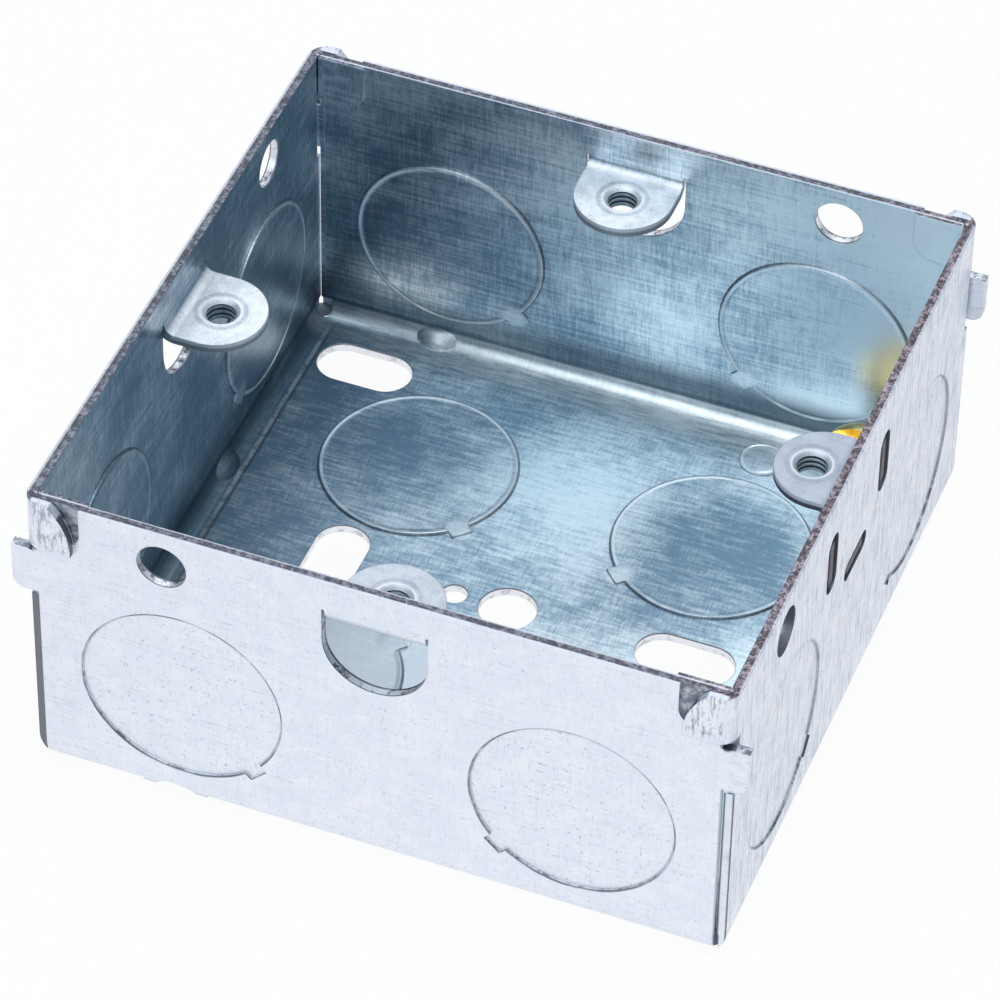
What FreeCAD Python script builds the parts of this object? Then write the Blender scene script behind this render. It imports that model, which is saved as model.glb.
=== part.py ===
import FreeCAD, Part
import Sketcher
import os
import re

# One-gang flush back box, folded from one blank of galvanised sheet.
# Millimetres. X runs along the front wall, Y towards the back wall, Z up from the underside.
# The origin is the middle of the floor's underside; the open side with the lugs is the top.

os.makedirs("parts", exist_ok=True)
doc = FreeCAD.newDocument("BackBox")
sheet = doc.addObject("Spreadsheet::Sheet", "Size")

SIZES = [
    ("box_side", 70.0, "outside, wall to wall, both ways"),
    ("box_height", 35.0, "underside of the floor to the rim"),
    ("sheet_gauge", 1.0, "thickness of the sheet"),
    ("fold_inner", 1.8, "inside radius of the four floor folds"),
    ("cut_margin", 1.0, "how far a cutting shape runs past the metal"),
    ("seam_gap", 0.12, "open seam between an end wall and the side wall it meets"),
    ("side_inset", 0.8, "how far a side wall stops short of the end wall's outer face"),
    ("relief_radius", 1.0, "round relief at each floor corner, where two folds meet"),
    ("relief_inset", 1.5, "its centre, in from the two outer faces"),
    ("relief_top", 2.6, "its upper end above the underside"),
    ("tab_height", 5.7, "height of the tabs that lap the end walls, down from the rim"),
    ("tab_bend", 1.0, "inside radius of a tab's bend"),
    ("tab_proud", 0.7, "a tab's outer face, out from the end wall"),
    ("tab_air", 0.1, "air between a tab and the wall behind it"),
    ("tab_end_radius", 7.05, "rounding of a tab's end, as seen from the front"),
    ("tab_end_out", 2.2, "centre of that rounding, out from the side wall's outer face"),
    ("tab_end_drop", 5.1, "centre of that rounding, below the rim"),
    ("recess_reach", 5.5, "pressed recess behind a tab, in from the side wall's outer face"),
    ("recess_height", 4.9, "height of the recess, down from the rim"),
    ("recess_corner", 1.8, "its rounded lower corner"),
    ("recess_step", 0.6, "width of the pressed step round the recess, seen from inside"),
    ("ear_drop", 6.6, "upper edge of the ear that passes the side wall, down from the rim"),
    ("ear_height", 5.4, "height of the ear"),
    ("ear_proud", 1.5, "ear's end, out from the side wall"),
    ("ear_corner", 1.3, "rounding of the ear's lower outer corner"),
    ("notch_height", 7.5, "height of the side wall's notch for the ear, down from the tab"),
    ("notch_depth", 0.7, "that notch's depth into the side wall's end"),
    ("knockout_radius", 10.15, "sheared circle of each knockout"),
    ("knockout_sink", 0.22, "how far a knockout is pushed in"),
    ("knockout_tie", 2.2, "width of the tie that still holds a knockout"),
    ("knockout_tie_out", 0.9, "how far the tie reaches past the circle"),
    ("wall_knockout_along", 19.6, "knockout centre from the middle of a wall"),
    ("wall_knockout_height", 14.4, "knockout centre above the underside"),
    ("floor_knockout_along", 15.75, "floor knockout centre from the middle, in X and in Y"),
    ("wall_hole_radius", 2.5, "round hole in each wall"),
    ("wall_hole_along", 21.2, "its centre from the middle of the wall"),
    ("wall_hole_drop", 4.1, "its centre below the rim"),
    ("lug_inset", 4.85, "lug hole in from the outer face: holes 60.3 apart across the box"),
    ("lug_drop", 4.7, "upper face of a fixed lug, below the rim"),
    ("lug_width", 10.0, "width of a lug"),
    ("lug_reach", 8.4, "lug tip from the wall's inner face"),
    ("lug_bend", 1.1, "inside radius of a fixed lug's bend"),
    ("lug_thread", 1.475, "bore radius of a tapped lug hole, M3.5"),
    ("lug_collar", 2.35, "outside radius of the drawn collar under a lug"),
    ("lug_collar_drop", 1.2, "length of that collar"),
    ("lug_mouth", 0.4, "bevel of the drawn hole's mouth"),
    ("window_width", 10.5, "window that a lug was bent out of"),
    ("window_height", 9.0, "height of that window"),
    ("centre_hole", 2.95, "radius of the floor's centre hole"),
    ("pilot_hole", 1.33, "radius of the small hole beside it"),
    ("pilot_offset", 5.65, "small hole's centre, left of the middle"),
    ("slot_width", 5.6, "width of the fixing slots"),
    ("slot_length", 10.2, "fixing slots, end to end"),
    ("slot_along", 18.6, "the two middle slots' centres, left and right of the middle"),
    ("corner_slot_x", 8.7, "corner slot's centre, in from the left outer face"),
    ("corner_slot_y", 7.8, "corner slot's centre, in from the back outer face"),
    ("dimple_along_x", 20.8, "stiffening dimple of the front and back folds, from the middle"),
    ("dimple_along_y", 8.0, "stiffening dimple of the left and right folds, from the middle"),
    ("dimple_radius", 4.0, "radius of a dimple on the inner side, which shows as a shallow cap"),
    ("dimple_out", 0.86, "its centre, out from the outer face and down from the underside"),
    ("slit_pitch", 15.1, "between the two upright slits of the right wall"),
    ("slit_width", 2.9, "width of each slit"),
    ("slit_length", 7.2, "height of each slit"),
    ("slit_drop", 7.9, "middle of the slits below the rim"),
    ("tail_slot_length", 6.5, "slot under the slits, length along the wall"),
    ("tail_slot_width", 2.2, "height of that slot"),
    ("tail_slot_drop", 13.7, "middle of that slot below the rim"),
    ("clip_gauge", 1.0, "sheet thickness of the movable lug"),
    ("clip_air", 0.1, "air between its plate and the wall, and from its wings to the outer face"),
    ("clip_drop", 3.4, "upper face of the movable lug, below the rim"),
    ("clip_lug_width", 9.7, "width of the movable lug"),
    ("clip_lug_reach", 7.45, "its tip from the wall's inner face"),
    ("clip_bend", 0.5, "inside radius of its bend"),
    ("clip_shoulder", 0.3, "drop from its bend to the plate's full width"),
    ("wing_height", 5.0, "height of its two wings"),
    ("tail_width", 4.6, "width of its tail"),
    ("plate_drop", 11.8, "lower edge of its plate's full width, below the rim"),
    ("earth_x", 8.2, "earth screw, in from the right outer face"),
    ("earth_y", 7.6, "earth screw, in from the back outer face"),
    ("boss_radius", 3.1, "drawn boss for the earth screw"),
    ("boss_rise", 1.7, "boss above the floor"),
    ("screw_radius", 1.95, "earth screw's thread, M4"),
    ("screw_air", 0.05, "air round the screw in its boss"),
    ("screw_tip", 0.4, "screw's tip above the underside"),
    ("head_low", 7.8, "underside of the screw's head"),
    ("head_rise", 2.4, "height of the head"),
    ("head_radius", 3.2, "radius of the head"),
    ("head_dome", 4.4, "radius of the head's dome"),
    ("driver_width", 1.1, "width of the driver slot"),
    ("driver_depth", 1.2, "depth of the driver slot"),
    ("washer_radius", 3.7, "outside radius of the earth washer"),
    ("washer_gauge", 0.8, "its thickness"),
    ("washer_air", 0.25, "air round the screw inside the washer"),
]
for row, (alias, number, note) in enumerate(SIZES, start=1):
    sheet.set(f"A{row}", alias)
    sheet.set(f"B{row}", str(number))
    sheet.set(f"C{row}", note)
    sheet.setAlias(f"B{row}", alias)
doc.recompute()

# Expressions used in many places
HALF = "box_side / 2"
INNER = "(box_side / 2 - sheet_gauge)"
SEAM = f"({INNER} - seam_gap)"
SIDE_END = "(box_side / 2 - side_inset)"
PAST = f"({HALF} + cut_margin)"
BELOW = "-cut_margin"
ABOVE = "(box_height + cut_margin)"
TAB_LOW = "(box_height - tab_height)"
RECESS_LOW = "(box_height - recess_height)"
EAR_TOP = "(box_height - ear_drop)"
EAR_LOW = "(box_height - ear_drop - ear_height)"
LUG_TOP = "(box_height - lug_drop)"
LUG_AT = f"({HALF} - lug_inset)"
WINDOW_TOP = f"({LUG_TOP} + lug_bend)"
CLIP_TOP = "(box_height - clip_drop)"
PLATE_LOW = "(box_height - plate_drop)"
SLIT_AT = "(box_height - slit_drop)"
TAIL_AT = "(box_height - tail_slot_drop)"


def tied(text):
    """Point every size name of an expression at the sheet."""
    return re.sub(r"\b[a-z]+(?:_[a-z]+)+\b", lambda found: "Size." + found.group(0), text)


def tie(item, **texts):
    for name, text in texts.items():
        item.setExpression(name, tied(text))
    return item


def turn(x=0, y=0, z=0):
    """A rotation in degrees, about X first, then Y, then Z."""
    about_x = FreeCAD.Rotation(FreeCAD.Vector(1, 0, 0), x)
    about_y = FreeCAD.Rotation(FreeCAD.Vector(0, 1, 0), y)
    about_z = FreeCAD.Rotation(FreeCAD.Vector(0, 0, 1), z)
    return about_z.multiply(about_y.multiply(about_x))


def put(item, where, rotation=None):
    """Place an object at three expressions."""
    item.Placement = FreeCAD.Placement(FreeCAD.Vector(), rotation or FreeCAD.Rotation())
    for axis, text in zip("xyz", where):
        item.setExpression(f"Placement.Base.{axis}", tied(text))
    return item


def block(name, x, y, z):
    """A box from its low and high value along each axis."""
    item = doc.addObject("Part::Box", name)
    tie(item, Length=f"({x[1]}) - ({x[0]})", Width=f"({y[1]}) - ({y[0]})", Height=f"({z[1]}) - ({z[0]})")
    return put(item, (x[0], y[0], z[0]))


def rod(name, axis, centre, reach, radius):
    """A cylinder along an axis. The centre gives the other two axes in the order X, Y, Z."""
    item = doc.addObject("Part::Cylinder", name)
    tie(item, Radius=radius, Height=f"({reach[1]}) - ({reach[0]})")
    where = list(centre)
    where.insert("xyz".index(axis), reach[0])
    return put(item, where, {"x": turn(y=90), "y": turn(x=-90), "z": turn()}[axis])


def ball(name, radius, where):
    return put(tie(doc.addObject("Part::Sphere", name), Radius=radius), where)


def fuse(name, *items):
    joined = doc.addObject("Part::MultiFuse", name)
    joined.Shapes = list(items)
    return joined


def cut(name, base, tool):
    result = doc.addObject("Part::Cut", name)
    result.Base, result.Tool = base, tool
    return result


def common(name, *items):
    result = doc.addObject("Part::MultiCommon", name)
    result.Shapes = list(items)
    return result


def copy(name, source, rotation, where=("0", "0", "0")):
    """The same shape again at another place."""
    again = doc.addObject("Part::Compound", name)
    again.Links = [source]
    return put(again, where, rotation)


def mirror(name, source, normal):
    result = doc.addObject("Part::Mirroring", name)
    result.Source = source
    result.Normal = FreeCAD.Vector(*normal)
    return result


def at_corners(name, source):
    """A shape of the right back corner at all four corners."""
    left = mirror(name + "Left", source, (1, 0, 0))
    front = mirror(name + "Front", source, (0, 1, 0))
    left_front = mirror(name + "LeftFront", left, (0, 1, 0))
    return [source, left, front, left_front]


def on_walls(name, source, walls=("Back", "Left", "Front", "Right")):
    """A shape of the back wall on each of the named walls."""
    angle = {"Back": 0, "Left": 90, "Front": 180, "Right": -90}
    return [copy(name + wall, source, turn(z=angle[wall])) for wall in walls]


def slot(name, through, reach, along, centre, width, length):
    """A slot with round ends. The centre gives the two axes across the through axis."""
    across = [axis for axis in "xyz" if axis != through]
    middle = dict(zip(across, centre))
    span = {through: reach}
    for axis in across:
        half = f"({length} - {width}) / 2" if axis == along else f"{width} / 2"
        span[axis] = (f"{middle[axis]} - {half}", f"{middle[axis]} + {half}")
    pieces = [block(name + "Middle", span["x"], span["y"], span["z"])]
    for number, end in enumerate(span[along], start=1):
        spot = [end if axis == along else middle[axis] for axis in across]
        pieces.append(rod(f"{name}End{number}", through, spot, reach, f"{width} / 2"))
    return fuse(name, *pieces)


def bend(name, axis, centre, reach, inner, gauge, quadrant):
    """A quarter of a tube: the metal of a right-angled bend. The quadrant is the box that keeps it."""
    outside = rod(name + "Outside", axis, centre, reach, f"{inner} + {gauge}")
    inside = rod(name + "Inside", axis, centre, reach, inner)
    return cut(name, common(name + "Quarter", outside, block(name + "Quadrant", *quadrant)), inside)


# The tray: a block with four folded lower edges, hollowed out to the sheet's thickness
tray = doc.addObject("PartDesign::Body", "Tray")
ground = next(item for item in tray.Origin.OriginFeatures if item.Role == "XY_Plane")
square = tray.newObject("Sketcher::SketchObject", "TraySquare")
square.AttachmentSupport = [(ground, "")]
square.MapMode = "FlatFace"
start = sheet.get("box_side") / 2
corners = [(-start, -start), (start, -start), (start, start), (-start, start)]
for number, corner in enumerate(corners):
    following = corners[(number + 1) % 4]
    square.addGeometry(Part.LineSegment(FreeCAD.Vector(*corner, 0), FreeCAD.Vector(*following, 0)), False)
for number in range(4):
    square.addConstraint(Sketcher.Constraint("Coincident", number, 2, (number + 1) % 4, 1))
    square.addConstraint(Sketcher.Constraint("Vertical" if number % 2 else "Horizontal", number))
square.addConstraint(Sketcher.Constraint("Symmetric", 0, 1, 2, 1, -1, 1))
wide = square.addConstraint(Sketcher.Constraint("DistanceX", 0, 1, 0, 2, 2 * start))
deep = square.addConstraint(Sketcher.Constraint("DistanceY", 1, 1, 1, 2, 2 * start))
square.setExpression(f"Constraints[{wide}]", tied("box_side"))
square.setExpression(f"Constraints[{deep}]", tied("box_side"))
pad = tray.newObject("PartDesign::Pad", "TrayBlock")
pad.Profile = square
tie(pad, Length="box_height")
doc.recompute()
folds = tray.newObject("PartDesign::Fillet", "TrayFolds")
folds.Base = (pad, [f"Edge{number}" for number, edge in enumerate(pad.Shape.Edges, start=1)
                    if edge.BoundBox.ZMax < 1e-6])
tie(folds, Radius="fold_inner + sheet_gauge")
doc.recompute()
hollow = tray.newObject("PartDesign::Thickness", "TrayHollow")
hollow.Base = (folds, [f"Face{number}" for number, face in enumerate(folds.Shape.Faces, start=1)
                       if face.BoundBox.ZMin > sheet.get("box_height") - 1e-6])
hollow.Reversed = True
tie(hollow, Value="sheet_gauge")
tray.Tip = hollow
doc.recompute()

# Open corners: the seam, the short side wall, the notch for the ear and the relief at the floor
tab_face = f"({HALF} + tab_proud)"
tab_x = f"({INNER} - tab_bend)"
tab_y = f"({tab_face} - sheet_gauge - tab_bend)"
tab_z = (TAB_LOW, "box_height")
recess_low = f"({HALF} - recess_reach)"
recess_face = f"({tab_face} - sheet_gauge - tab_air)"
recess_deep = (recess_face, PAST)
seam_y = (f"{INNER} - seam_gap / 2", PAST)
seam_x = (f"{INNER} - seam_gap / 2", PAST)
corner_cuts = fuse(
    "CornerCuts",
    block("Seam", (SEAM, INNER), seam_y, (BELOW, ABOVE)),
    block("SideStop", seam_x, (SIDE_END, PAST), (BELOW, ABOVE)),
    block("EarNotch", seam_x, (f"{SIDE_END} - notch_depth", PAST), (f"{TAB_LOW} - notch_height", TAB_LOW)),
    block("TabStop", seam_x, (tab_y, PAST), (TAB_LOW, ABOVE)),
    rod("Relief", "z", (f"{HALF} - relief_inset", f"{HALF} - relief_inset"), (BELOW, "relief_top"),
        "relief_radius"),
    block("RecessUpper", (recess_low, PAST), recess_deep, (f"{RECESS_LOW} + recess_corner", ABOVE)),
    block("RecessLower", (f"{recess_low} + recess_corner", PAST), recess_deep, (RECESS_LOW, ABOVE)),
    rod("RecessRound", "y", (f"{recess_low} + recess_corner", f"{RECESS_LOW} + recess_corner"),
        recess_deep, "recess_corner"),
    cut("RecessEnd", block("RecessEndBlock", (tab_x, INNER), (tab_y, PAST), (RECESS_LOW, ABOVE)),
        rod("RecessEndRound", "z", (tab_x, tab_y), (RECESS_LOW, ABOVE), "tab_bend - tab_air")))

# A knockout lying in the XZ plane, its outer face at Y = 0, its tie pointing down
tie_x = ("-knockout_tie / 2", "knockout_tie / 2")
tie_z = ("-knockout_radius - knockout_tie_out", "0")
hole_y = ("-sheet_gauge - cut_margin", "cut_margin")
plate_y = ("-sheet_gauge - knockout_sink", "-knockout_sink")
knockout_hole = fuse("KnockoutHole",
                     rod("KnockoutCircle", "y", ("0", "0"), hole_y, "knockout_radius"),
                     block("KnockoutTieHole", tie_x, hole_y, tie_z))
knockout_plate = fuse("KnockoutPlate",
                      rod("KnockoutDisc", "y", ("0", "0"), plate_y, "knockout_radius"),
                      block("KnockoutTie", tie_x, plate_y, tie_z))


def knockouts(name, source):
    """A shape at the eight knockouts of the walls and the four of the floor."""
    placed = []
    for side, sign in (("East", 1), ("West", -1)):
        spot = (f"{sign} * wall_knockout_along", HALF, "wall_knockout_height")
        placed += on_walls(f"{name}{side}", copy(f"{name}{side}Wall", source, turn(y=45 * sign), spot))
        spot = (f"{sign} * floor_knockout_along", "floor_knockout_along", "0")
        floor_one = copy(f"{name}{side}Floor", source, turn(x=-90, z=-45 * sign), spot)
        placed += on_walls(f"{name}{side}Floor", floor_one, ("Back", "Front"))
    return placed


# Windows of the three fixed lugs, the round holes and the cuts of the right wall
LANCED = ("Back", "Left", "Front")
through_wall = (f"{INNER} - cut_margin", PAST)
window_low = f"({WINDOW_TOP} - window_height)"
window_middle = f"({window_low} + window_width / 2)"
window_wide = ("-window_width / 2", "window_width / 2")
window = fuse("Window",
              block("WindowUpper", window_wide, through_wall, (window_middle, WINDOW_TOP)),
              common("WindowLower",
                     rod("WindowRound", "y", ("0", window_middle), through_wall, "window_width / 2"),
                     block("WindowHalf", window_wide, through_wall, (window_low, window_middle))))
wall_hole = rod("WallHole", "y", ("wall_hole_along", "box_height - wall_hole_drop"), through_wall,
                "wall_hole_radius")
slits = [slot(f"Slit{side}", "x", through_wall, "z", (f"{sign} * slit_pitch / 2", SLIT_AT),
              "slit_width", "slit_length") for side, sign in (("Near", -1), ("Far", 1))]
tail_slot = slot("TailSlot", "x", through_wall, "y", ("0", TAIL_AT), "tail_slot_width", "tail_slot_length")

# Holes of the floor
through_floor = (BELOW, "sheet_gauge + cut_margin")
floor_holes = [
    rod("CentreHole", "z", ("0", "0"), through_floor, "centre_hole"),
    rod("PilotHole", "z", ("-pilot_offset", "0"), through_floor, "pilot_hole"),
    slot("SlotLeft", "z", through_floor, "y", ("-slot_along", "0"), "slot_width", "slot_length"),
    slot("SlotRight", "z", through_floor, "x", ("slot_along", "0"), "slot_width", "slot_length"),
    slot("SlotCorner", "z", through_floor, "x", (f"corner_slot_x - {HALF}", f"{HALF} - corner_slot_y"),
         "slot_width", "slot_length"),
]
openings = fuse("Openings", *at_corners("CornerCuts", corner_cuts), *knockouts("Hole", knockout_hole),
                *on_walls("Window", window, LANCED), *on_walls("WallHole", wall_hole), *slits, tail_slot,
                *floor_holes)
blank = cut("CutTray", tray, openings)

# A fixed lug of the back wall, bent in from the window's upper edge
lug_z = (f"{LUG_TOP} - sheet_gauge", LUG_TOP)
lug_wide = ("-lug_width / 2", "lug_width / 2")
lug_round = f"({INNER} - lug_reach + lug_width / 2)"
lug_bend_y = f"({INNER} - lug_bend)"
lug = fuse("Lug",
           block("LugPlate", lug_wide, (lug_round, lug_bend_y), lug_z),
           common("LugTip", rod("LugTipRound", "z", ("0", lug_round), lug_z, "lug_width / 2"),
                  block("LugTipHalf", lug_wide, (f"{lug_round} - lug_width / 2", lug_round), lug_z)),
           bend("LugBend", "x", (lug_bend_y, WINDOW_TOP), lug_wide, "lug_bend", "sheet_gauge",
                (lug_wide, (lug_bend_y, PAST), (lug_z[0], WINDOW_TOP))),
           rod("LugCollar", "z", ("0", LUG_AT), (f"{lug_z[0]} - lug_collar_drop", LUG_TOP), "lug_collar"))


def tapped_hole(name, where, top, gauge):
    """The bore through a lug and its collar, with a bevelled mouth."""
    bore = rod(name + "Bore", "z", where,
               (f"{top} - {gauge} - lug_collar_drop - cut_margin", f"{top} + cut_margin"), "lug_thread")
    mouth = doc.addObject("Part::Cone", name + "Mouth")
    tie(mouth, Radius1="lug_thread", Radius2="lug_thread + lug_mouth", Height="lug_mouth")
    put(mouth, (*where, f"{top} - lug_mouth"))
    return fuse(name, bore, mouth)


lug_hole = tapped_hole("LugHole", ("0", LUG_AT), LUG_TOP, "sheet_gauge")

# The right back corner: the ear, the pressed-in wall end and the tab that laps it
ear_end = f"({HALF} + ear_proud)"
ear_y = (INNER, HALF)
ear = fuse("Ear",
           block("EarUpper", (f"{SEAM} - cut_margin", ear_end), ear_y, (f"{EAR_LOW} + ear_corner", EAR_TOP)),
           block("EarLower", (f"{SEAM} - cut_margin", f"{ear_end} - ear_corner"), ear_y, (EAR_LOW, EAR_TOP)),
           rod("EarRound", "y", (f"{ear_end} - ear_corner", f"{EAR_LOW} + ear_corner"), ear_y, "ear_corner"))
step_x = (f"({recess_low} - recess_step)", tab_x)
step_y = (f"{recess_face} - sheet_gauge", INNER)
step_z = (RECESS_LOW, "box_height")
step_round = "(recess_corner + recess_step)"
step = fuse("RecessStep",
            block("StepUpper", step_x, step_y, (f"{RECESS_LOW} + recess_corner", "box_height")),
            block("StepLower", (f"{recess_low} + recess_corner", step_x[1]), step_y,
                  (f"{RECESS_LOW} - recess_step", "box_height")),
            rod("StepRound", "y", (f"{recess_low} + recess_corner", f"{RECESS_LOW} + recess_corner"), step_y,
                step_round),
            common("StepEnd", rod("StepEndRound", "z", (tab_x, tab_y), step_z, "tab_bend - tab_air"),
                   block("StepEndBlock", (tab_x, INNER), step_y, step_z)))
tab_flat_y = (f"{tab_face} - sheet_gauge", tab_face)
tab_flat = common("TabFlat",
                  block("TabStrip", (recess_low, tab_x), tab_flat_y, tab_z),
                  rod("TabEnd", "y", (f"{HALF} + tab_end_out", "box_height - tab_end_drop"), tab_flat_y,
                      "tab_end_radius"))
tab_corner = bend("TabCorner", "z", (tab_x, tab_y), tab_z, "tab_bend", "sheet_gauge",
                  ((tab_x, PAST), (tab_y, PAST), tab_z))


def dimples(name, radius):
    """Balls on the four floor folds; two of each pair are mirrored."""
    edge = f"({HALF} + dimple_out)"
    back = ball(name + "Back", radius, ("-dimple_along_x", edge, "-dimple_out"))
    right = ball(name + "Right", radius, (edge, "dimple_along_y", "-dimple_out"))
    return fuse(name, back, mirror(name + "Front", back, (0, 1, 0)), right,
                mirror(name + "Left", right, (1, 0, 0)))


room = (f"-{INNER} - sheet_gauge * 0.3", f"{INNER} + sheet_gauge * 0.3")
bumps = common("Bumps", dimples("BumpBalls", "dimple_radius"),
               block("BumpRoom", room, room, ("sheet_gauge * 0.7", "box_height")))
dents = dimples("Dents", "dimple_radius - sheet_gauge")

earth = (f"({HALF} - earth_x)", f"({HALF} - earth_y)")
boss = rod("EarthBoss", "z", earth, ("0", "sheet_gauge + boss_rise"), "boss_radius")
boss_bore = rod("EarthBore", "z", earth, (BELOW, "sheet_gauge + boss_rise + cut_margin"),
                "screw_radius + screw_air")

metal = fuse("Metal", blank, *knockouts("Plate", knockout_plate), *on_walls("Lug", lug, LANCED),
             *at_corners("Ear", ear), *at_corners("Step", step), *at_corners("TabFlat", tab_flat),
             *at_corners("TabCorner", tab_corner), bumps, boss)
bores = fuse("Bores", *on_walls("LugHole", lug_hole, LANCED), dents, boss_bore)
back_box = cut("BackBoxSolid", metal, bores)
back_box.Refine = True

# The movable lug: a plate behind the right wall, two wings and a tail out through its slits
plate_out = f"({INNER} - clip_air)"
plate_x = (f"{plate_out} - clip_gauge", plate_out)
blade_x = (plate_out, f"{HALF} - clip_air")
wing_z = (f"{SLIT_AT} - wing_height / 2", f"{SLIT_AT} + wing_height / 2")
clip_bend_x = f"({plate_out} - clip_gauge - clip_bend)"
clip_bend_z = f"({CLIP_TOP} - clip_gauge - clip_bend)"
clip_z = (f"{CLIP_TOP} - clip_gauge", CLIP_TOP)
clip_wide = ("-clip_lug_width / 2", "clip_lug_width / 2")
clip_tip = f"({INNER} - clip_lug_reach)"
clip_round = f"({clip_tip} + clip_lug_width / 2)"
wing_near = "(slit_pitch / 2 - clip_gauge / 2)"
wing_far = "(slit_pitch / 2 + clip_gauge / 2)"
tail_wide = ("-tail_width / 2", "tail_width / 2")
tail_top = f"({TAIL_AT} + clip_gauge / 2)"
tail_z = (f"{TAIL_AT} - clip_gauge / 2", tail_top)


def wing(name, span, edge):
    """One wing, bent out from the plate's edge."""
    return fuse(name,
                block(name + "Blade", blade_x, span, wing_z),
                common(name + "Bend", block(name + "Quadrant", plate_x, span, wing_z),
                       rod(name + "Round", "z", (plate_out, edge), wing_z, "clip_gauge")))


clip_metal = fuse("ClipMetal",
                  block("ClipLug", (clip_round, clip_bend_x), clip_wide, clip_z),
                  common("ClipTip", rod("ClipTipRound", "z", (clip_round, "0"), clip_z, "clip_lug_width / 2"),
                         block("ClipTipHalf", (clip_tip, clip_round), clip_wide, clip_z)),
                  bend("ClipBend", "y", (clip_bend_x, clip_bend_z), clip_wide, "clip_bend", "clip_gauge",
                       ((clip_bend_x, PAST), clip_wide, (clip_bend_z, CLIP_TOP))),
                  block("ClipNeck", plate_x, clip_wide, (PLATE_LOW, clip_bend_z)),
                  block("ClipPlate", plate_x, (f"-{wing_near}", wing_near),
                        (PLATE_LOW, f"{clip_bend_z} - clip_shoulder")),
                  wing("WingNear", (f"-{wing_far}", f"-{wing_near}"), f"-{wing_near}"),
                  wing("WingFar", (wing_near, wing_far), wing_near),
                  block("ClipTongue", plate_x, tail_wide, (tail_top, PLATE_LOW)),
                  common("TailBend", block("TailQuadrant", plate_x, tail_wide, tail_z),
                         rod("TailRound", "y", (plate_out, tail_top), tail_wide, "clip_gauge")),
                  block("Tail", blade_x, tail_wide, tail_z),
                  rod("ClipCollar", "z", (LUG_AT, "0"), (f"{clip_z[0]} - lug_collar_drop", CLIP_TOP),
                      "lug_collar"))
adjustable_lug = cut("MovableLugSolid", clip_metal,
                     tapped_hole("ClipHole", (LUG_AT, "0"), CLIP_TOP, "clip_gauge"))
adjustable_lug.Refine = True

# Earth screw and its washer
head_top = "(head_low + head_rise)"
head = common("ScrewHead", rod("HeadDrum", "z", earth, ("head_low", head_top), "head_radius"),
              ball("HeadDome", "head_dome", (*earth, f"{head_top} - head_dome")))
driver = block("DriverSlot",
               (f"{earth[0]} - head_radius - cut_margin", f"{earth[0]} + head_radius + cut_margin"),
               (f"{earth[1]} - driver_width / 2", f"{earth[1]} + driver_width / 2"),
               (f"{head_top} - driver_depth", f"{head_top} + cut_margin"))
shank = rod("ScrewShank", "z", earth, ("screw_tip", "head_low"), "screw_radius")
earth_screw = cut("EarthScrewSolid", fuse("ScrewMetal", shank, head), driver)
earth_screw.Refine = True
washer_z = ("head_low - washer_gauge", "head_low")
earth_washer = cut("EarthWasherSolid", rod("WasherDisc", "z", earth, washer_z, "washer_radius"),
                   rod("WasherHole", "z", earth, washer_z, "screw_radius + washer_air"))

doc.recompute()

for item in doc.Objects:
    if "Invalid" in item.State or "Error" in item.State:
        raise RuntimeError(f"{item.Name} failed: {item.State}")
    if item.isDerivedFrom("Part::Feature") and (item.Shape.isNull() or not item.Shape.isValid()):
        raise RuntimeError(f"{item.Name} has no valid shape")

nodes = {"back_box": back_box, "adjustable_lug": adjustable_lug, "earth_screw": earth_screw,
         "earth_washer": earth_washer}
for name, item in nodes.items():
    item.Label = name
    if len(item.Shape.Solids) != 1:
        raise RuntimeError(f"{name} has {len(item.Shape.Solids)} solids")
    item.Shape.exportStep(f"parts/{name}.step")
    box = item.Shape.optimalBoundingBox()
    print(name, f"{item.Shape.Volume:.1f} mm3,", f"X {box.XMin:.2f} to {box.XMax:.2f},",
          f"Y {box.YMin:.2f} to {box.YMax:.2f},", f"Z {box.ZMin:.2f} to {box.ZMax:.2f}")
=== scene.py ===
# %% [markdown]
# A square flush box, folded from galvanised sheet, is dressed here for a close view.
# Its shape comes ready from the CAD model, which is loaded as a fixed frame.
# What is made here is the finish: zinc that mirrors softly, cut steel at every edge,
# tool marks, threads and brass, and the light and camera to show them.

# %% Load the frame and list its parts
import math

import bmesh
import bpy
from mathutils import Matrix, Vector


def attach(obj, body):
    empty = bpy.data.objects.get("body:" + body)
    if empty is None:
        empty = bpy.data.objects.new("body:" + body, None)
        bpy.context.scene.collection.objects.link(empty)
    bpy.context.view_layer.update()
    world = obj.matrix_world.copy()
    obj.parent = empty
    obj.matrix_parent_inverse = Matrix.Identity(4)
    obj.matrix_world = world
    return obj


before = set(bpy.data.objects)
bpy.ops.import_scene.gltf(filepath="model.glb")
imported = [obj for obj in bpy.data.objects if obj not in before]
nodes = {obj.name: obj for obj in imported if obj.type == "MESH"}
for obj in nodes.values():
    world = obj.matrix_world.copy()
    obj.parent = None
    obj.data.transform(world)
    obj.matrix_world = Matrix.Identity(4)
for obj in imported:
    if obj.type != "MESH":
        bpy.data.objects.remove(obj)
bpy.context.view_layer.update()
print("frame nodes:", sorted(nodes))

# %% [markdown]
# The photograph looks down into the box from the front and a little from the right.
# A long lens keeps its edges nearly parallel, so the camera stands far off.
# Turn, tilt and roll are put together as a matrix whose columns are right, up and backward.

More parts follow.
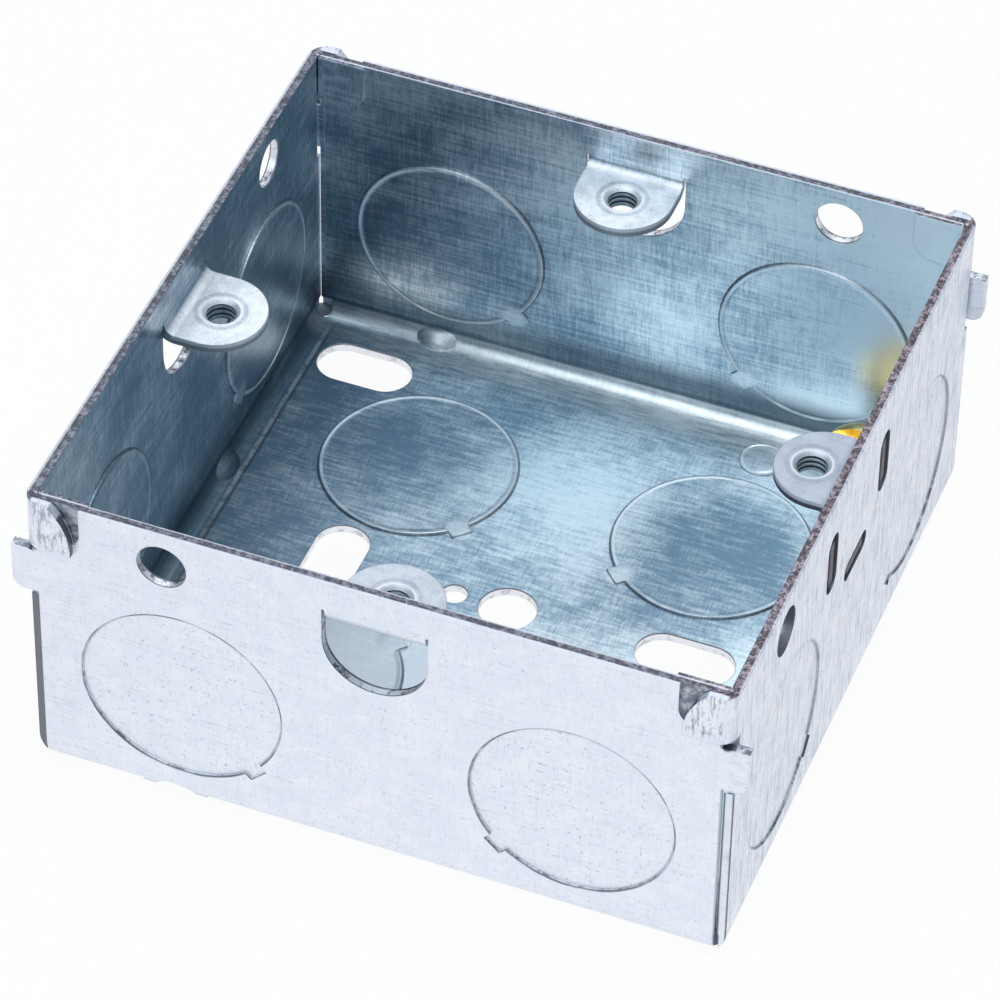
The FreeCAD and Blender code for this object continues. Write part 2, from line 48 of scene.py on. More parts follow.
# %% Camera
YAW, PITCH, ROLL = math.radians(20.30), math.radians(43.96), math.radians(1.24)
CAMERA_PLACE = Vector((0.1449, -0.3930, 0.4198))
FOCAL_PIXELS, PICTURE_PIXELS = 6003.1, 1000
forward = Vector((-math.sin(YAW) * math.cos(PITCH), math.cos(YAW) * math.cos(PITCH), -math.sin(PITCH)))
level_right = Vector((math.cos(YAW), math.sin(YAW), 0))
level_up = level_right.cross(forward)
right = math.cos(ROLL) * level_right + math.sin(ROLL) * level_up
up = math.cos(ROLL) * level_up - math.sin(ROLL) * level_right
lens = bpy.data.cameras.new("lens")
lens.sensor_width = 36.0
lens.lens = FOCAL_PIXELS * lens.sensor_width / PICTURE_PIXELS
lens.shift_x = -0.0055
lens.shift_y = 0.0002
lens.clip_start = 0.01
camera = bpy.data.objects.new("camera", lens)
turned = Matrix((right, up, -forward)).transposed()
camera.matrix_world = Matrix.Translation(CAMERA_PLACE) @ turned.to_4x4()
bpy.context.scene.collection.objects.link(camera)
bpy.context.scene.camera = camera
print("camera stands", round(camera.location.length, 3), "m from the box")

# %% [markdown]
# Shader maths reads best as ordinary sums. A small class wraps a node's socket, so that
# an expression such as 1 - mask adds the Math nodes by itself.
# Every other node comes from one method that takes the node's type, its settings and its inputs.


# %% A wrapper for sockets
class Flow:
    def __init__(self, tree, socket):
        self.tree, self.socket = tree, socket

    def math(self, kind, *others):
        node = self.tree.nodes.new("ShaderNodeMath")
        node.operation = kind
        for spot, value in zip(node.inputs, (self, *others)):
            join(self.tree, spot, value)
        return Flow(self.tree, node.outputs[0])

    def __add__(self, other):
        return self.math("ADD", other)

    def __sub__(self, other):
        return self.math("SUBTRACT", other)

    def __rsub__(self, other):
        result = self.math("SUBTRACT", self)
        first, second = result.socket.node.inputs[:2]
        self.tree.links.remove(first.links[0])
        first.default_value = other
        return result

    def __mul__(self, other):
        return self.math("MULTIPLY", other)

    def both(self, other):
        return self.math("MINIMUM", other)

    def either(self, other):
        return self.math("MAXIMUM", other)

    def size(self):
        return self.math("ABSOLUTE")

    def reach(self, other):
        """Distance from the middle, with this and the other as the two legs."""
        return (self * self + other * other).math("SQRT")

    def near(self, middle, width, soft):
        """1 within width of the middle, falling to 0 over soft."""
        return (self - middle).size().rise(width + soft, width)

    def rise(self, low, high):
        """0 below low, 1 above high, smooth between; low may be above high for a fall."""
        node = self.tree.nodes.new("ShaderNodeMapRange")
        node.interpolation_type = "SMOOTHSTEP"
        flip = low > high
        start, end = (high, low) if flip else (low, high)
        join(self.tree, node.inputs["Value"], self)
        node.inputs["From Min"].default_value = start
        node.inputs["From Max"].default_value = end
        node.inputs["To Min"].default_value = 1.0 if flip else 0.0
        node.inputs["To Max"].default_value = 0.0 if flip else 1.0
        return Flow(self.tree, node.outputs["Result"])


def join(tree, spot, value):
    if isinstance(value, Flow):
        tree.links.new(value.socket, spot)
    elif value is not None:
        spot.default_value = value


MM_PER_METRE = 1000.0


class Shader:
    """A material with a Principled surface and short ways to add nodes."""

    def __init__(self, name):
        self.material = bpy.data.materials.new(name)
        self.material.use_nodes = True
        self.tree = self.material.node_tree
        self.surface = self.tree.nodes["Principled BSDF"]
        self.object = self.tree.nodes.new("ShaderNodeTexCoord").outputs["Object"]
        split = self.tree.nodes.new("ShaderNodeSeparateXYZ")
        self.tree.links.new(self.object, split.inputs[0])
        self.x, self.y, self.z = (Flow(self.tree, out) * MM_PER_METRE for out in split.outputs)
        normal = self.tree.nodes.new("ShaderNodeSeparateXYZ")
        self.tree.links.new(self.tree.nodes.new("ShaderNodeNewGeometry").outputs["True Normal"],
                            normal.inputs[0])
        self.nx, self.ny, self.nz = (Flow(self.tree, out) for out in normal.outputs)

    def node(self, kind, out=0, settings=None, **sockets):
        item = self.tree.nodes.new(kind)
        for key, value in (settings or {}).items():
            setattr(item, key, value)
        for key, value in sockets.items():
            join(self.tree, item.inputs[key.replace("_", " ")], value)
        return Flow(self.tree, item.outputs[out])

    def point(self, x, y, z):
        return self.node("ShaderNodeCombineXYZ", X=x, Y=y, Z=z)

    def noise(self, where, scale, detail=2.0, rough=0.5):
        return self.node("ShaderNodeTexNoise", Vector=where, Scale=scale, Detail=detail, Roughness=rough)

    def mix(self, amount, first, second):
        item = self.tree.nodes.new("ShaderNodeMix")
        item.data_type = "RGBA"
        for spot, value in ((item.inputs[0], amount), (item.inputs[6], first), (item.inputs[7], second)):
            join(self.tree, spot, value)
        return Flow(self.tree, item.outputs[2])

    def set(self, **sockets):
        for key, value in sockets.items():
            join(self.tree, self.surface.inputs[key.replace("_", " ")], value)

    def bump(self, height, distance, rounded=None):
        """Raise the surface by height, in metres once multiplied by distance."""
        edge = self.node("ShaderNodeBevel", settings={"samples": 4}, Radius=rounded) if rounded else None
        self.set(Normal=self.node("ShaderNodeBump", Strength=1.0, Distance=distance,
                                  Height=height, Normal=edge))


# %% [markdown]
# The box is galvanised sheet: steel under a coat of zinc, a metal that mirrors softly.
# Its pattern could be a painted picture, but worked out from the place on the sheet, in
# millimetres, it stays sharp at any distance and needs no seams. The box is nearly the same on
# its four sides, so most places are found with the sizes of X and Y alone.
# Each function below adds one layer to the colour, in the order in which the real box got it.

# %% Sizes and tones of the sheet
HALF = 35.0
KNOCKOUT_RADIUS, KNOCKOUT_HEIGHT = 10.15, 14.4
KNOCKOUT_ON_FLOOR, KNOCKOUT_ON_WALL = 15.75, 19.6
TIE_REACH, TIE_RADIUS = 10.1, 1.7
LUG_HOLE, LUG_REACH, BORE_RADIUS, THREAD_PITCH = 30.15, 6.5, 1.6, 0.6
PALE, WHITISH = (0.83, 0.88, 0.975, 1), (0.90, 0.93, 0.99, 1)
DARK_REFLECTION, LIGHT_REFLECTION = (0.20, 0.305, 0.395, 1), (0.77, 0.87, 0.91, 1)
FOLD_DARK, FOLD_SHADE, FOLD_LIGHT = (0.035, 0.08, 0.115, 1), (0.05, 0.09, 0.13, 1), (0.95, 1.0, 1.0, 1)
CUT, NOOK_SHADE, BURR = (0.10, 0.11, 0.14, 1), (0.045, 0.05, 0.065, 1), (0.11, 0.10, 0.12, 1)
SHADE, GLINT, FRONT_FLOOR_REFLECTION = (0.33, 0.37, 0.45, 1), (0.88, 0.95, 0.98, 1), (0.60, 0.64, 0.69, 1)
FRONT_LUG_SHADE, HOLE_HIGHLIGHT, LUG_EDGE_HIGHLIGHT = (0.66, 0.70, 0.76, 1), (0.95, 0.97, 1.0, 1), (0.86, 0.90, 0.96, 1)
BRIGHT_EDGE = (0.92, 0.94, 0.98, 1)
RIM_DARK, RIM_LIGHT = (0.085, 0.088, 0.11, 1), (0.34, 0.34, 0.40, 1)
RUST_DARK, RUST_LIGHT = (0.075, 0.055, 0.06, 1), (0.50, 0.42, 0.48, 1)
PRESS_SMEAR, RECESS_SHADE = (0.22, 0.25, 0.31, 1), (0.13, 0.17, 0.22, 1)
print("knockouts", 2 * KNOCKOUT_RADIUS, "mm across, lug holes", 2 * LUG_HOLE, "mm apart")


# %% Where a point lies on the sheet
def find_place(steel):
    """Masks from the place alone: walls or floor, side or end wall, inside or outside."""
    x, y, z = steel.x, steel.y, steel.z
    steel.place = steel.point(x, y, z)
    steel.far_x, steel.far_y = x.size(), y.size()
    steel.far = steel.far_x.either(steel.far_y)
    steel.on_side = steel.far_x.rise(33.3, 33.5)
    steel.upright = z.rise(1.35, 1.6).either(steel.far.rise(32.8, 33.1))
    steel.flat = 1 - steel.upright
    steel.along = x * (1 - steel.on_side) + y * steel.on_side
    steel.inner = steel.far.rise(34.35, 34.1).both(z.rise(0.5, 0.75))
    steel.on_right = x.rise(34.5, 34.8)
    steel.faces_up = steel.nz.rise(0.5, 0.8)


# %% [markdown]
# The sheet was rolled before it was cut. Noise that is stretched along one axis makes the
# rolled lines: lengthwise on the floor, and both ways on the walls. Rounder noise of several
# sizes makes the cloudy coat, the grain and the stains.


# %% Rolled lines, clouds and grain
def roll(steel):
    x, y, z, along, on_side = steel.x, steel.y, steel.z, steel.along, steel.on_side
    steel.floor_line = steel.noise(steel.point(x * 0.30, y * 2.3, z), 1.0, 4.0, 0.62)
    steel.upright_line = steel.noise(steel.point(along * 2.2, z * 0.16, on_side * 9.0), 1.0, 3.0, 0.6)
    level_line = steel.noise(steel.point(along * 0.14, z * 2.6, on_side * 5.0), 1.0, 3.0, 0.6)
    steel.wall_line = steel.upright_line * 0.38 + level_line * 0.62
    steel.line = steel.wall_line * steel.upright + steel.floor_line * steel.flat
    steel.fine = steel.noise(steel.point(along * 5.5, z * 0.8, y * 0.8), 1.0, 2.0, 0.6)
    steel.patch = steel.noise(steel.place, 0.38, 4.0, 0.62)
    steel.cloud = steel.noise(steel.point(x * 0.7, y, z * 1.3), 0.085, 2.0, 0.5)
    steel.grain = steel.noise(steel.place, 7.0, 2.0, 0.5)
    steel.stain = steel.noise(steel.place, 0.9, 3.0, 0.7)
    steel.speck = steel.noise(steel.place, 2.6, 3.0, 0.7).rise(0.625, 0.68)
    scratch = steel.noise(steel.point(along * 0.5, z * 4.5, y * 0.2), 1.0, 2.0, 0.7)
    steel.scratch = scratch.rise(0.66, 0.73)


# %% [markdown]
# Outside, the coat is pale and faintly mottled, with dark specks and scratches, and the right
# wall carries upright streaks. Inside, the walls mirror each other and the room, so the
# coat runs from a deep blue at the left to a light one at the middle and the right. Part
# of that drift, and the darker, bluer tone inside, is painted into the coat's own tone as
# painted reflection, because the real room isn't known. The floor also gets a light and a
# dark pool of painted reflection and a grey painted reflection at its front, and the back
# and front walls are painted lighter towards their right and left ends.


# %% Coat outside, and coat with painted reflection inside
def outside_coat(steel):
    tone = steel.mix(steel.patch.rise(0.35, 0.68), PALE, WHITISH)
    marks = steel.speck * 0.65 + steel.scratch * 0.4
    marks = marks + steel.fine.rise(0.52, 0.75) * 0.16 + steel.wall_line.rise(0.52, 0.68) * 0.18
    streaks = steel.upright_line.rise(0.46, 0.62) * 0.28 + steel.stain.rise(0.45, 0.65) * 0.14
    return steel.mix(marks + steel.on_right * streaks, tone, SHADE)


def inside_coat_and_reflection(steel):
    x, y, z, flat = steel.x, steel.y, steel.z, steel.flat
    # Painted reflection: dark to the left, light to the right, mixed with the coat's real mottle.
    reflection_and_mottle = x * 0.0094 + (steel.cloud - 0.5) * 1.1 + (z * 0.0035 + 0.05) * steel.upright + 0.44
    # Painted light at the right and left ends of the back and front walls.
    right_and_left = x.rise(16.0, 32.0) * 0.22 + x.rise(-20.0, -33.0) * 0.07
    reflection_and_mottle = reflection_and_mottle + right_and_left * steel.far_y.rise(32.8, 33.1)
    # A light and a dark pool of painted reflection on the floor.
    reflection_and_mottle = reflection_and_mottle + (x + 1.0).reach(y - 18.0).rise(15.0, 3.0) * flat * 0.34
    reflection_and_mottle = reflection_and_mottle - (x - 17.0).reach(y - 13.0).rise(13.0, 5.0) * flat * 0.40
    reflection_and_mottle = reflection_and_mottle + (steel.line - 0.5) * (steel.upright * 0.4 + 1.3)
    reflection_and_mottle = reflection_and_mottle + (steel.patch - 0.5) * 0.7 + (steel.fine - 0.5) * 0.7
    tone = steel.mix(reflection_and_mottle.rise(0.0, 1.0), DARK_REFLECTION, LIGHT_REFLECTION)
    # Grey painted reflection over the front of the floor.
    return steel.mix(y.rise(-4.0, -9.0) * flat * 0.75, tone, FRONT_FLOOR_REFLECTION)


# %% [markdown]
# Where the floor turns up into the walls, the fold catches the light in a streaky band, and
# the foot of each wall above it mirrors the fold's dark side. Along the side walls the fold
# lies in shade, with one bright crease.


# %% Folds
def folds(steel, tone):
    x, z = steel.x, steel.z
    steel.foot = z.rise(2.2, 2.6) * z.rise(7.6, 4.2) * steel.inner
    steel.bend = z.rise(1.1, 1.3).both(z.rise(3.2, 2.8)).both(steel.inner)
    tone = steel.mix(steel.foot * (x * 0.007 + 0.74), tone, FOLD_DARK)
    at_side = steel.far_x.rise(31.4, 31.7).both(steel.far_y.rise(32.2, 31.8)).both(z.rise(3.4, 2.6))
    # The left end of the back fold is painted dark as shade too.
    at_back_left = steel.far_y.rise(31.0, 31.6) * steel.bend * x.rise(-4.0, -30.0) * 0.8
    tone = steel.mix(at_side.either(at_back_left) * 0.75, tone, FOLD_SHADE)
    low = z.rise(2.6, 2.2)
    band = low.both(steel.far_y.rise(29.3, 31.5) * (steel.floor_line.rise(0.35, 0.65) * 0.5 + 0.5))
    tone = steel.mix(band * (x * 0.009 + 0.64), tone, FOLD_LIGHT)
    crease = steel.far_x.near(32.05, 0.08, 0.3).both(low).both(steel.far_y.rise(33.0, 31.0))
    crease = crease * (steel.stain.rise(0.34, 0.56) * 0.4 + 0.2) * (steel.y.rise(-14.0, 12.0) * 0.8 + 0.2)
    return steel.mix(crease, tone, GLINT)


# %% [markdown]
# A knockout is a disc that the press sheared nearly free, so that it can be struck out for a
# cable. One small tie at its edge holds it. The shear leaves a thin dark line outside
# and a rounded lip inside; the lip and the tie inside carry a painted highlight. The small
# pressed ring on the floor gets a painted highlight on its left half.


# %% Knockouts and the small pressed ring
def knockouts(steel, colour):
    x, y, inner = steel.x, steel.y, steel.inner
    middle = steel.upright * (KNOCKOUT_ON_WALL - KNOCKOUT_ON_FLOOR) + KNOCKOUT_ON_FLOOR
    across = steel.along.size() - middle
    up = (steel.z - KNOCKOUT_HEIGHT) * steel.upright + (steel.far_y - KNOCKOUT_ON_FLOOR) * steel.flat
    ring = across.reach(up) - KNOCKOUT_RADIUS
    tie = (across - up).size().rise(1.75, 1.5).both((across + up).rise(0.0, -1.0))
    blob = ((across + up) * -math.sqrt(0.5) - TIE_REACH).reach((across - up) * 0.85) - TIE_RADIUS
    free = 1 - tie
    wear_and_glint_noise = steel.noise(steel.place, 0.25, 2.0, 0.6).rise(0.35, 0.6)
    ink = ring.near(0.06, 0.03, 0.1) * free * (wear_and_glint_noise * 0.6 + 0.2)
    colour = steel.mix(ink * (1 - inner * 0.62 - steel.on_right * 0.5), colour, CUT)
    # Painted highlight on the lip and on the tie inside.
    glint = (ring.near(-0.24, 0.12, 0.16) * (wear_and_glint_noise * 0.45 + 0.40) * free).either(blob.rise(0.3, -0.9) * 0.45)
    colour = steel.mix(glint * inner * y.rise(-9.0, -4.0), colour, GLINT)
    blob_line = blob.near(0.0, 0.06, 0.14) * ring.rise(-0.1, 0.1)
    colour = steel.mix(blob_line * inner * 0.16, colour, CUT)
    lip = (ring.rise(-0.75, -0.05) * ring.rise(0.05, -0.05) * free).either(blob.rise(0.5, -0.9) * 0.8)
    steel.ring = ring
    steel.shear = ring.near(0.0, 0.05, 0.1) * free
    steel.lip = lip * inner
    steel.pressed = (x - 16.2).reach(y - 29.5).near(2.0, 0.1, 0.3) * steel.flat
    # Painted highlight on the left half of the pressed ring.
    return steel.mix(steel.pressed * (x - 16.8).rise(0.6, -0.8) * 0.75, colour, GLINT)


# %% [markdown]
# The lugs take the screws of a switch or socket. Their tops are painted in a tone of their own,
# light on the faces that look up, as painted light, and the front lug's top is painted darker as
# shade. A painted highlight rings each tapped hole, with a painted shade ring just outside it, and
# the thread is drawn as grooves painted dark as shade, one for each turn of the screw. The lugs'
# sides are painted light at the top as a highlight and dark below as shade.


# %% Lugs and their threads
def lugs(steel, colour, painted_top_tone, lug_top, under_edge_shade):
    z, steepness = steel.z, steel.nz.size()
    hole = (steel.far_x - LUG_HOLE).reach(steel.y).both(steel.x.reach(steel.far_y - LUG_HOLE))
    lug = hole.rise(LUG_REACH + 0.1, LUG_REACH - 0.1).both(z.rise(26.5, 27.0))
    steel.lug = lug.both(steel.far.rise(33.95, 33.7))
    # The top tone is painted light; the front lug's top is painted darker as shade.
    tone = steel.mix(steel.y.rise(-20.0, -26.0), painted_top_tone, FRONT_LUG_SHADE)
    # Mottle, grain, specks and stains, and a dark ring of painted shade just outside each hole.
    mottle_and_ring_shade = steel.patch.rise(0.42, 0.62) * 0.20 + steel.grain.rise(0.45, 0.7) * 0.25
    mottle_and_ring_shade = mottle_and_ring_shade + steel.speck * 0.4 + steel.stain.rise(0.42, 0.62) * 0.14 + hole.near(2.45, 0.1, 0.25) * 0.35
    tone = steel.mix(mottle_and_ring_shade, tone, SHADE)
    # Painted highlight in a ring round each tapped hole.
    tone = steel.mix(hole.near(1.88, 0.10, 0.16) * 0.55, tone, HOLE_HIGHLIGHT)
    colour = steel.mix(steel.lug.both(steel.faces_up), colour, tone)
    # The lugs' sides: painted highlight above, painted shade at the foot of the edge.
    under = (z - lug_top).rise(-0.35, -0.60) * under_edge_shade
    edge = steel.lug.both(steepness.rise(0.5, 0.3)).both(hole.rise(2.5, 2.7))
    edge = edge.both((z - lug_top).rise(0.1, 0.0)).both(steel.far.rise(33.5, 33.0))
    colour = steel.mix(edge, colour, steel.mix(under, LUG_EDGE_HIGHLIGHT, CUT))
    bore = hole.rise(BORE_RADIUS + 0.02, BORE_RADIUS - 0.02).both(steepness.rise(0.35, 0.2))
    # The thread's grooves are painted dark as shade.
    steel.groove = bore * (z * (2 * math.pi / THREAD_PITCH)).math("SINE").rise(0.35, -0.5)
    return steel.mix(steel.groove, colour, NOOK_SHADE)


# %% [markdown]
# Where the press cut the sheet, the steel is bare: it is dark at the side where the cut broke
# off, and bright where the punch went in. On the right wall the cut faces are painted dark
# all over, as shade inside the holes. The rim was sheared too. It is speckled, and at
# the right it has begun to rust.


# %% Cut edges and rim
def cut_edges(steel, colour):
    x, z, upright = steel.x, steel.z, steel.upright
    facing = (steel.nx.size() * steel.on_side + steel.ny.size() * (1 - steel.on_side)) * upright \
        + steel.nz.size() * steel.flat
    edge = facing.rise(0.5, 0.35).both(z.rise(2.4, 2.8).either(steel.flat)).both(z.rise(34.0, 33.8))
    edge = edge.both(steel.far_x.rise(33.2, 33.0).either(steel.far_y.rise(33.2, 33.0)))
    edge = edge * (1 - steel.ring.near(0.0, 0.4, 0.2) * x.rise(33.2, 33.4) * 0.7)
    in_sheet = steel.far.rise(33.9, 33.98).either(z.rise(1.05, 1.0))
    depth = (HALF - steel.far) * upright + z * steel.flat
    outline = depth.rise(0.72, 0.86).either(depth.rise(0.16, 0.08) * upright) * 0.9
    dark = outline.either(steel.stain.rise(0.50, 0.64) * (upright * 0.55 + 0.3))
    # On the right wall the cut faces are painted dark as shade inside the holes.
    dark = dark.either(x.rise(33.2, 33.4) * 0.9)
    return steel.mix(edge.both(in_sheet), colour, steel.mix(dark, BRIGHT_EDGE, CUT))


def rim(steel, colour, coat):
    far_x, far_y, rusty = steel.far_x, steel.far_y, steel.x.rise(28.0, 34.0)
    rust = steel.noise(steel.place, 1.9, 4.0, 0.78).rise(0.44, 0.62)
    dark = steel.mix(rusty, RIM_DARK, RUST_DARK)
    light = steel.mix(rusty, RIM_LIGHT, RUST_LIGHT)
    on_end = far_y.rise(33.9, 34.0) * far_x.rise(34.4, 34.0)
    lip = (far_y.rise(34.18, 34.05) * 0.75).either(far_y.rise(34.72, 34.85) * 0.9) * on_end
    lip = lip.either(far_x.rise(34.72, 34.85) * far_y.rise(34.4, 34.0) * 0.7)
    steel.rim = steel.z.rise(34.93, 34.97).both(steel.nz.rise(0.6, 0.9))
    return steel.mix(steel.rim * 0.95, colour, steel.mix(lip, steel.mix(rust, dark, light), coat))


# %% [markdown]
# At each corner the side wall's tab is folded round the end wall. The press left upright
# smears on the tab. The recess beside it is painted dark as shade, in patches, and so is the
# notch where the small ear comes through. The side walls' cut ends at the seams are darkened,
# partly as bare cut steel and partly as painted shade of the gap beside them.


# %% Corners
def corners(steel, colour):
    x, y, z, far_x, far_y, stain = steel.x, steel.y, steel.z, steel.far_x, steel.far_y, steel.stain
    # The side walls' cut ends: dark bare steel and painted shade of the seam's gap.
    wall_end = far_x.rise(33.95, 34.0).both(far_y.near(34.2, 0.03, 0.02)).both(z.rise(28.0, 27.5))
    end_dark = x.rise(0.1, -0.1).either(far_x.rise(34.22, 34.12)).either(far_x.rise(34.8, 34.9))
    colour = steel.mix(wall_end * end_dark * 0.85, colour, CUT)
    ear_top = far_x.rise(34.2, 34.3).both(steel.faces_up).both(z.rise(28.8, 28.6))
    colour = steel.mix(ear_top * stain.rise(0.38, 0.58) * 0.8, colour, CUT)
    # Painted shade, in patches, in the notch where the ear comes through.
    notch_shade = (far_x - 34.2).reach(z - 28.7).rise(0.8, 0.4).both(far_y.rise(34.1, 34.3))
    colour = steel.mix(notch_shade * stain.rise(0.40, 0.50), colour, NOOK_SHADE)
    on_tab = far_x.rise(28.6, 29.4).both(far_y.rise(35.2, 35.4)).both(z.rise(29.2, 30.2))
    smear = steel.noise(steel.point(x * 3.2, z * 0.55, y * 0.1), 1.0, 3.0, 0.65).rise(0.49, 0.62)
    colour = steel.mix(on_tab * smear * 0.62, colour, PRESS_SMEAR)
    # Painted shade in the recess beside the tab.
    recess = far_x.rise(29.0, 29.6).both(far_x.rise(33.9, 33.7)).both(far_y.rise(34.85, 34.7))
    recess = recess.both(far_y.rise(34.2, 34.3)).both(z.rise(28.4, 28.8)).both(steel.ny.size().rise(0.5, 0.8))
    return steel.mix(recess * (stain.rise(0.40, 0.60) * 0.5 + 0.4), colour, RECESS_SHADE)


# %% [markdown]
# The layers are now laid over each other. Zinc is metal, so its colour is the colour of its
# mirror image. It is rougher outside, on the rim and on the lugs. A very small bump
# gives the rolled lines, the lips of the knockouts and the thread their relief, and a bevel that
# only turns the light softens the sheet's edges. The movable lug is a second piece of the
# same metal; its top is given a darker tone, and its ends in the right wall's slits are bare.


# %% Galvanised sheet, for the box and for the movable lug
def galvanised(name, painted_top_tone, lug_top, under_edge_shade):
    steel = Shader(name)
    find_place(steel)
    roll(steel)
    coat = outside_coat(steel)
    colour = steel.mix(steel.inner, coat, folds(steel, inside_coat_and_reflection(steel)))
    colour = knockouts(steel, colour)
    colour = lugs(steel, colour, painted_top_tone, lug_top, under_edge_shade)
    colour = cut_edges(steel, colour)
    colour = rim(steel, colour, coat)
    colour = corners(steel, colour)
    steel.set(Base_Color=colour, Metallic=0.92)
    rough = steel.patch * 0.12 + steel.line * 0.14 + (1 - steel.inner) * 0.12 + steel.rim * 0.15
    rough = rough + steel.lug * 0.22 + steel.foot * 0.12 + steel.bend * 0.10
    steel.set(Roughness=rough - steel.upright * steel.inner * 0.05 + 0.24)
    height = steel.line * 0.020 + steel.fine * 0.006 + steel.patch * 0.02 + steel.grain * 0.004
    height = height - steel.shear * 0.05 + steel.lip * 0.10 - steel.pressed * 0.08 - steel.groove * 0.25
    steel.bump(height, 0.001, rounded=0.00018)
    return steel, colour


# The fixed lugs' tops are painted light; the movable lug's top gets a darker tone.
sheet_steel, sheet_colour = galvanised("galvanised_sheet", (0.92, 0.96, 0.99, 1), 30.3, 0.6)
lug_steel, lug_colour = galvanised("galvanised_lug", (0.54, 0.58, 0.65, 1), 31.6, 0.95)
bare_end = lug_steel.x.rise(34.5, 34.6) * lug_steel.nx.rise(0.5, 0.8)
lug_steel.set(Base_Color=lug_steel.mix(bare_end, lug_colour, BURR))
for node_name, shader in (("back_box", sheet_steel), ("adjustable_lug", lug_steel)):
    mesh = nodes[node_name].data
    mesh.materials.clear()
    mesh.materials.append(shader.material)
    print(node_name, "has", len(mesh.polygons), "triangles and", len(shader.tree.nodes), "shader nodes")

# %% [markdown]
# At each floor corner, where two folds meet, the blank has a small round relief. The photograph
# shows no light through it. A thin dark disc in each relief stands in for that shade: it is
# painted shade, not a part of the real box. It lies just high enough to stay inside the round
# of the fold.

# %% Dark discs of painted shade in the corner reliefs
RELIEF_MIDDLE, SHADE_DISC_RADIUS, SHADE_DISC_MIDDLE, SHADE_DISC_THICKNESS = 0.0335, 0.00102, 0.0013, 0.0001
bm = bmesh.new()
for side in (-1, 1):
    for end in (-1, 1):
        disc = bmesh.ops.create_cone(bm, cap_ends=True, segments=24, radius1=SHADE_DISC_RADIUS,
                                     radius2=SHADE_DISC_RADIUS, depth=SHADE_DISC_THICKNESS)
        bmesh.ops.translate(bm, verts=disc["verts"],
                            vec=(side * RELIEF_MIDDLE, end * RELIEF_MIDDLE, SHADE_DISC_MIDDLE))
shade_disc_mesh = bpy.data.meshes.new("corner_shade_discs")
bm.to_mesh(shade_disc_mesh)
bm.free()
shade_discs = bpy.data.objects.new("corner_shade_discs", shade_disc_mesh)
bpy.context.scene.collection.objects.link(shade_discs)
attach(shade_discs, "box")
# The discs' dark colour is painted shade.
shaded = Shader("shaded_steel")
shaded.set(Base_Color=(0.17, 0.22, 0.27, 1), Metallic=0.6, Roughness=0.6)
shade_disc_mesh.materials.append(shaded.material)
print("corner burrs:", len(shade_disc_mesh.polygons), "faces")

# %% [markdown]
# The earth screw and its washer are brass. It is polished where a driver and a cable rub
# it and dull between, so two golds are mixed by noise.

# %% Brass
brass = Shader("brass")
spots = brass.noise(brass.point(brass.x, brass.y, brass.z), 2.0, 3.0, 0.6)
brass.set(Base_Color=brass.mix(spots.rise(0.3, 0.7), (0.80, 0.55, 0.14, 1), (1.0, 0.84, 0.42, 1)),
          Metallic=1.0, Roughness=spots * 0.2 + 0.10)
for node_name in ("earth_screw", "earth_washer"):
    mesh = nodes[node_name].data
    mesh.materials.clear()
    mesh.materials.append(brass.material)

# %% [markdown]
# The box stands on a plain pale floor, and large soft lamps stand round it.
# The floor is white where the camera or a mirror looks at it, and the world where the camera
# looks at it. The floor keeps a little of the box's shadow.

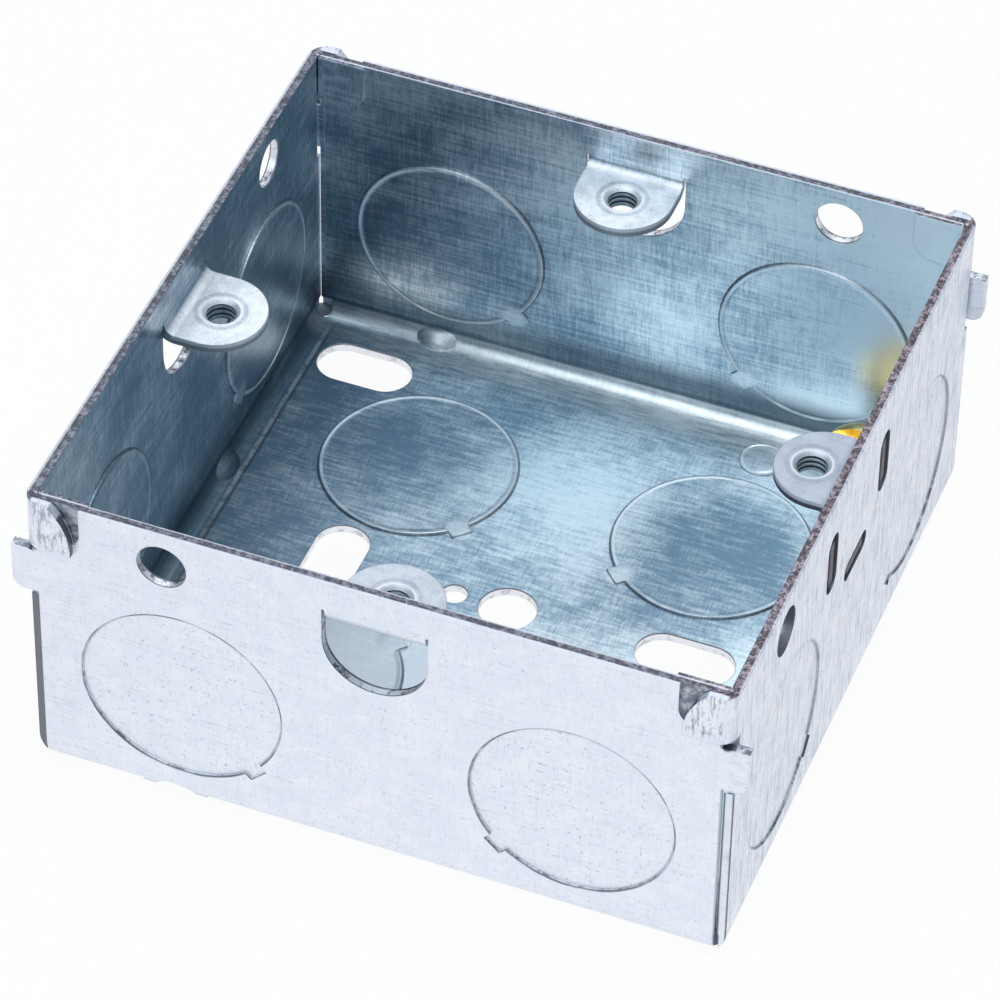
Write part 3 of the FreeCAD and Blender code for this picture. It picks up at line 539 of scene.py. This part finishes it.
# %% Floor, lamps and world
bm = bmesh.new()
bmesh.ops.create_grid(bm, x_segments=1, y_segments=1, size=1.5)
bmesh.ops.translate(bm, verts=bm.verts, vec=(0, 0, -0.0002))
floor_mesh = bpy.data.meshes.new("floor")
bm.to_mesh(floor_mesh)
bm.free()
floor = bpy.data.objects.new("floor", floor_mesh)
bpy.context.scene.collection.objects.link(floor)
pale = Shader("pale_floor")
pale.set(Base_Color=(0.9, 0.9, 0.9, 1), Roughness=0.8)
floor_mesh.materials.append(pale.material)
path = pale.tree.nodes.new("ShaderNodeLightPath")
seen = Flow(pale.tree, path.outputs["Is Camera Ray"])
mirrored = Flow(pale.tree, path.outputs["Is Glossy Ray"])
GLOW_SHARE = 0.93
glow = pale.node("ShaderNodeEmission", Color=(1, 1, 1, 1), Strength=1.0)
blend = pale.node("ShaderNodeMixShader")
join(pale.tree, blend.socket.node.inputs[0], seen * GLOW_SHARE + mirrored * GLOW_SHARE)
pale.tree.links.new(pale.surface.outputs[0], blend.socket.node.inputs[1])
join(pale.tree, blend.socket.node.inputs[2], glow)
pale.tree.links.new(blend.socket, pale.tree.nodes["Material Output"].inputs["Surface"])

world = bpy.data.worlds.new("studio")
bpy.context.scene.world = world
world.use_nodes = True
sky = world.node_tree
background = sky.nodes["Background"]
background.inputs["Color"].default_value = (0.80, 0.88, 1.0, 1)
background.inputs["Strength"].default_value = 0.5
white = sky.nodes.new("ShaderNodeBackground")
white.inputs["Color"].default_value = (1, 1, 1, 1)
either = sky.nodes.new("ShaderNodeMixShader")
sky.links.new(sky.nodes.new("ShaderNodeLightPath").outputs["Is Camera Ray"], either.inputs[0])
sky.links.new(background.outputs[0], either.inputs[1])
sky.links.new(white.outputs[0], either.inputs[2])
sky.links.new(either.outputs[0], sky.nodes["World Output"].inputs["Surface"])


def lamp(name, where, aim, size, power, tint=(1, 1, 1)):
    data = bpy.data.lights.new(name, "AREA")
    data.shape = "RECTANGLE"
    data.size, data.size_y = size
    data.energy = power
    data.color = tint
    item = bpy.data.objects.new(name, data)
    direction = Vector(aim) - Vector(where)
    facing = direction.to_track_quat("-Z", "Y").to_matrix().to_4x4()
    item.matrix_world = Matrix.Translation(Vector(where)) @ facing
    bpy.context.scene.collection.objects.link(item)
    return item


lamp("overhead", (0.3, 0.0, 1.2), (0, 0, 0.02), (0.7, 0.7), 5.0)
lamp("behind", (-0.35, 0.95, 0.97), (0, 0, 0.02), (1.2, 1.0), 4.2, (0.95, 0.98, 1.0))
lamp("front", (-0.35, -0.95, 0.97), (0, 0, 0.02), (1.2, 1.0), 6.8, (0.90, 0.96, 1.0))

bpy.context.scene.view_settings.view_transform = "Standard"
